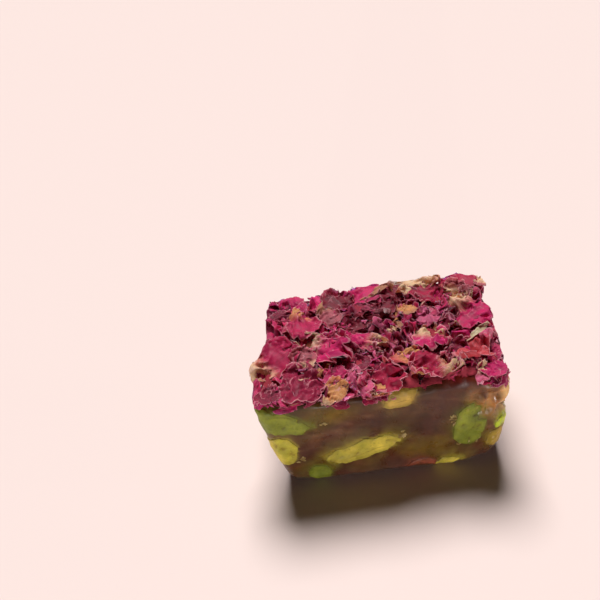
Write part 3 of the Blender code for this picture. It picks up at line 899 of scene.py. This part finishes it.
def scatter(masters, count, blades, sizes, lifts, tilt, seed, golds, crust_tree, roof, share):
    """Copies of the masters strewn over the top, each turned, sized and coloured by chance."""
    chance = random.Random(seed)
    pieces = []
    for number in range(count):
        master = chance.choice(masters)
        piece = master.copy()
        piece.data = master.data.copy()
        bpy.context.scene.collection.objects.link(piece)
        shade, blade = chance.uniform(0.85, 1.3), chance.choice(blades)
        gold = chance.random() < golds
        claw = chance.choice((GOLD, CREAM, TAN)) if gold else PINK
        reach = chance.uniform(0.2, 0.7) if gold else chance.uniform(-0.4, 0.05)
        pale = chance.uniform(-0.3, 0.7)
        place, room = petal_here(chance, 1.03)
        place.z += chance.uniform(*lifts) * MM
        spot = (place.xy - ANCHOR.xy) / MM
        # Painted shade darkens the small petals in the heap's hollows.
        blade = [level * shade * hollow_shade_at(spot) for level in blade]
        colour_petal(piece, number * 1.37, blade, claw, reach, pale)
        bare = any((spot - Vector((x, y))).length < size for x, y, size in DARK_GAPS)
        turns = chance.uniform(0, 360), chance.gauss(0, tilt), chance.gauss(0, tilt)
        lay(piece, place, *turns, chance.uniform(*sizes) * min(1, 0.55 + 0.15 * room))
        if bare:
            bpy.data.objects.remove(piece)
            continue
        press(piece, crust_tree, 0.5 * MM)
        tuck(piece, roof, share)
        pieces.append(piece)
    return pieces


def add_bed(block, crust_tree):
    """The mat of petal dust under the rest, a smaller core of the crust that hangs over the block's rim."""
    bed = block.copy()
    bed.data = block.data.copy()
    bed.name = "petal_bed"
    bpy.context.scene.collection.objects.link(bed)
    points = points_of(bed)
    border = TOP + (0.35 * noise_at(points, 4.0 * MM, 3.0) + 0.45 * noise_at(points, 1.2 * MM, 7.0) - 1.25) * MM
    bank = (points[:, :2] - np.array(Vector((12.8, -12.6)) * MM + ANCHOR.xy)) / (np.array([4.2, 2.6]) * MM)
    border += 2.2 * MM * np.exp(-(bank**2).sum(axis=1))
    keep = points[:, 2] > border
    mesh = bed.data
    mesh.vertices.foreach_set("select", ~keep)
    only(bed)
    bpy.ops.object.mode_set(mode="EDIT")
    bpy.ops.mesh.select_mode(type="VERT")
    bpy.ops.object.mode_set(mode="OBJECT")
    mesh.vertices.foreach_set("select", ~keep)
    bpy.ops.object.mode_set(mode="EDIT")
    bpy.ops.mesh.delete(type="VERT")
    bpy.ops.object.mode_set(mode="OBJECT")
    points = points_of(bed)
    outward = normals_of(bed)
    lumps = 0.30 * noise_at(points, 1.3 * MM) + 0.22 * noise_at(points, 0.6 * MM, 4.0) + 0.30
    heaped = np.zeros(len(points))
    for index in np.flatnonzero(outward[:, 2] > 0.6):
        spot = Vector(points[index]) + Vector((0, 0, 20 * MM))
        hit = crust_tree.ray_cast(spot, Vector((0, 0, -1)))[0]
        if hit:
            heaped[index] = max(0, hit.z - TOP)
    inland = np.clip((outward[:, 2] - 0.6) / 0.4, 0, 1)
    points += outward * (np.maximum(lumps - 0.35 * inland, 0.08) * MM)[:, None]
    points[:, 2] += BED_SHARE * heaped * inland
    set_points(bed, points)
    finish_with(bed, "SOLIDIFY", thickness=0.35 * MM, offset=-1)
    bed.data.materials.clear()
    bed.data.materials.append(bed_look())
    bed.data.shade_smooth()
    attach(bed, "root")
    return bed


def rim_bits(masters, count, blades, block_tree, seed):
    """Copies of the masters pressed flat on the jelly along the petals' lower border."""
    chance = random.Random(seed)
    pieces = []
    while len(pieces) < count:
        side, share = chance.random(), chance.random()
        level = chance.gauss(0.998, 0.012)
        if side < 0.4:
            spot = block_point(share, 0, level)
        elif side < 0.6:
            spot = block_point(1, share, level)
        elif side < 0.8:
            spot = block_point(share, 1, level)
        else:
            spot = block_point(0, share, level)
        if side < 0.4 and (share < 0.22 or 0.56 < share < 0.90) or side > 0.8 and share < 0.15:
            continue
        place, normal, _, _ = block_tree.find_nearest(spot + ANCHOR)
        master = chance.choice(masters)
        piece = master.copy()
        piece.data = master.data.copy()
        bpy.context.scene.collection.objects.link(piece)
        shade = chance.uniform(0.8, 1.3)
        blade = [level * shade for level in chance.choice(blades)]
        claw = chance.choice((PINK, PINK, GOLD, CREAM))
        colour_petal(piece, len(pieces) * 2.1, blade, claw, chance.uniform(-0.3, 0.4), chance.uniform(0.2, 1.0))
        size = chance.uniform(0.22, 0.46)
        lean = normal.to_track_quat("Z", "Y").to_matrix().to_4x4()
        spin = Matrix.Rotation(chance.uniform(0, 2 * math.pi), 4, "Z")
        tip = Matrix.Rotation(chance.gauss(0, 0.25), 4, "X")
        turn = Matrix.Translation(place + normal * 0.1 * MM) @ lean @ tip @ spin
        piece.data.transform(turn @ Matrix.Diagonal((size, size, size * 0.4, 1)))
        hug(piece, block_tree, 0.5 * MM)
        pieces.append(piece)
    return pieces


def add_petals(block_tree, crust_tree):
    look = petal_look()
    heroes = []
    for row in HERO_PETALS:
        form, seed, x, y, lift, heading, pitch, roll, size, blade, claw, reach, pale, proud = row
        piece = petal_sheet("petal", form, seed)
        colour_petal(piece, seed, blade, claw, reach, pale)
        place = Vector((x, y, lift)) * MM + ANCHOR + Vector((0, 0, TOP))
        lay(piece, place, heading, pitch, roll, size)
        press(piece, crust_tree, proud * MM)
        heroes.append(piece)
    roof = roof_over(heroes)
    half = len(heroes) // 2
    gather(heroes[:half], "large_petals", look)
    gather(heroes[half:], "whole_petals", look)
    if not WITH_LITTER:
        return
    masters = [
        petal_sheet("small", form, seed, (3, 3), 2)
        for seed, form in enumerate(LITTER_FORMS * 3, start=400)
    ]
    litter = scatter(
        masters, 250, LITTER_BLADES, (0.6, 1.0), (0.5, 1.8), 24, 7, 0.06, crust_tree, roof, 1.0
    )
    gather(litter, "petal_litter", look)
    border = rim_bits(masters, 90, LITTER_BLADES, block_tree, 9)
    gather(border, "border_petals", look)
    shreds = [
        petal_sheet("shred", form, seed, (3, 3), 2, 0.08 * MM)
        for seed, form in enumerate(SHRED_FORMS * 3, start=500)
    ]
    bits = scatter(
        shreds, 210, SHRED_BLADES, (0.35, 0.7), (0.8, 1.9), 40, 8, 0.10, crust_tree, roof, 0.9
    )
    gather(bits, "petal_shreds", look)
    for piece in masters + shreds:
        bpy.data.objects.remove(piece)


# The sweet

WITH_LITTER = True
WITH_KERNELS = True

JELLY, JELLY_OLIVE, JELLY_PLUM = srgb(86, 46, 26), srgb(108, 78, 26), srgb(86, 50, 38)
# The darkest jelly colour serves both a darker patch of jelly and painted shade along the rim and below the kernels.
JELLY_LIGHT, JELLY_DARK_AND_SHADE, JELLY_MAUVE = srgb(128, 86, 56), srgb(60, 25, 17), srgb(92, 64, 54)
# Of these, the pit colour is painted shade in the corner's pits, and the pale amber is painted light at the corner's
# thin edge.
AMBER, AMBER_PIT_SHADE, AMBER_EDGE_GLOW = srgb(206, 142, 84), srgb(44, 18, 10), srgb(236, 196, 132)
# The bank colour is dark red syrup together with painted shade.
BANK_SYRUP_AND_SHADE = srgb(112, 24, 18)
CRUMB, CRUMB_DARK = srgb(196, 166, 106), srgb(134, 104, 52)
FRINGE = 0.6  # mm
HALO = 1.6
GREEN, YELLOW, RED = srgb(128, 132, 40), srgb(202, 180, 70), srgb(150, 76, 52)
LIME, OLIVE = srgb(196, 206, 50), srgb(112, 86, 24)
KERNEL_TINTS = {"kernel_green": GREEN, "kernel_yellow": YELLOW, "kernel_skin": RED}
# The lime kernel at the front right corner is partly its own bright green and partly painted light on that lit corner.
OWN_TINTS = {"pistachio_front_lime": LIME, "pistachio_front_amber": srgb(160, 128, 46), "pistachio_front_rim": srgb(184, 150, 70)}
GROWN = {  # how much larger than its solid a kernel's face is, and how far it is moved in mm
    "pistachio_front_leaf": (1.12, (-0.6, 0, 0.1)),
    "pistachio_front_corner": (1.22, (-0.9, 0, 0.1)),
    "pistachio_front_long": (1.10, (0, 0, 0)),
    "pistachio_front_round": (1.08, (0.0, 0, 0.25)),
    "pistachio_front_rim": (1.08, (0, 0, 0.2)),
    "pistachio_front_skin": (1.35, (0, 0, 0.6)),
    "pistachio_front_sliver": (1.2, (0, 0, 0.3)),
    "pistachio_front_lime": ((1.15, 1.15, 0.8), (0.5, 0, -1.2)),
    "pistachio_front_amber": (1.20, (0.2, 0, 0)),
}
CRUMB_SPOTS = (  # middle and spreads along x and up, in mm in the block's frame, and the count
    (2.6, 8.8, 0.45, 0.4, 14),
    (11.8, 11.4, 0.5, 0.8, 18),
    (14.8, 5.7, 1.4, 0.2, 9),
    (-15.2, 6.3, 0.3, 0.5, 12),
    (-10.6, 14.0, 0.4, 0.2, 6),
)
GHOSTS = (  # kernels under the skin: place and half sizes in mm, tint and strength
    ((-9.4, -14.2, 16.6), (3.6, 2.0, 2.4), OLIVE, 0.75),
    ((6.4, -12.8, 5.4), (4.8, 2.0, 2.3), OLIVE, 0.9),
    ((19.9, 6.0, 14.0), (2.0, 3.4, 2.4), OLIVE, 0.7),
    ((-2.0, 13.2, 8.0), (4.0, 2.0, 2.6), OLIVE, 0.7),
    ((-19.0, -7.0, 8.0), (2.0, 3.6, 2.4), OLIVE, 0.7),
)

block = cut_block()
block.data.materials.append(jelly_look())
block.data.shade_smooth()
swell_jelly(block, [])
block_tree = tree_of(block)
flesh_look = kernel_look()
kernels = []
for subpart in frame["record"]["subparts"]:
    node, slot = subpart["node"], subpart["material_slot"]
    if slot in KERNEL_TINTS and WITH_KERNELS:
        tint = OWN_TINTS.get(node, KERNEL_TINTS[slot])
        piece = kernel_piece(node, flesh_look, *GROWN.get(node, (1.08, (0, 0, 0))))
        heights = cut_kernel(piece, block_tree)
        shade_kernel(piece, tint, heights)
        kernels.append((piece, tint))
add_crumbs(block_tree, flesh_look)
shade_jelly(block, kernels)
crust_tree = tree_of(frame["nodes"]["petal_crust"])
bed = add_bed(block, crust_tree)
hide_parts("petal_crust")
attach(block, "root")
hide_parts("jelly")
add_petals(block_tree, crust_tree)

bpy.ops.mesh.primitive_plane_add(size=4)
floor = bpy.context.object
floor.name = "floor"
floor.data.materials.append(floor_look())

camera = bpy.data.objects.new("camera", bpy.data.cameras.new("camera"))
bpy.context.scene.collection.objects.link(camera)
camera.data.lens = 45
camera.data.sensor_width = 36
camera.data.clip_start = 0.005
az, el, roll = math.radians(1.9), math.radians(35.0), math.radians(-6.0)
back = Vector((math.sin(az) * math.cos(el), -math.cos(az) * math.cos(el), math.sin(el)))
right = (-back).cross(Vector((0, 0, 1))).normalized()
up = right.cross(-back)
turned_right = right * math.cos(roll) + up * math.sin(roll)
turned_up = up * math.cos(roll) - right * math.sin(roll)
turn = Matrix((turned_right, turned_up, back)).transposed().to_4x4()
camera.matrix_world = Matrix.Translation(Vector((-9.7, -105.1, 103.3)) * MM + ANCHOR) @ turn
bpy.context.scene.camera = camera

world = bpy.data.worlds.new("studio")
bpy.context.scene.world = world
world.use_nodes = True
world.node_tree.nodes["Background"].inputs["Color"].default_value = (1, 0.97, 0.95, 1)
world.node_tree.nodes["Background"].inputs["Strength"].default_value = 0.012
LAMPS = (  # name, energy, angle, direction towards it
    ("key", 4.05, 28, (-0.07, 0.60, 1.0)),
    ("front_fill", 1.5, 1.5, (-0.15, -1.0, 0.014)),
    ("right_fill", 0.65, 1.5, (1.0, -0.1, 0.014)),
)
for name, energy, angle, direction in LAMPS:
    lamp = bpy.data.objects.new(name, bpy.data.lights.new(name, "SUN"))
    bpy.context.scene.collection.objects.link(lamp)
    lamp.data.energy = energy
    lamp.data.angle = math.radians(angle)
    lamp.rotation_euler = Vector(direction).to_track_quat("Z", "Y").to_euler()
bpy.context.scene.view_settings.view_transform = "Standard"
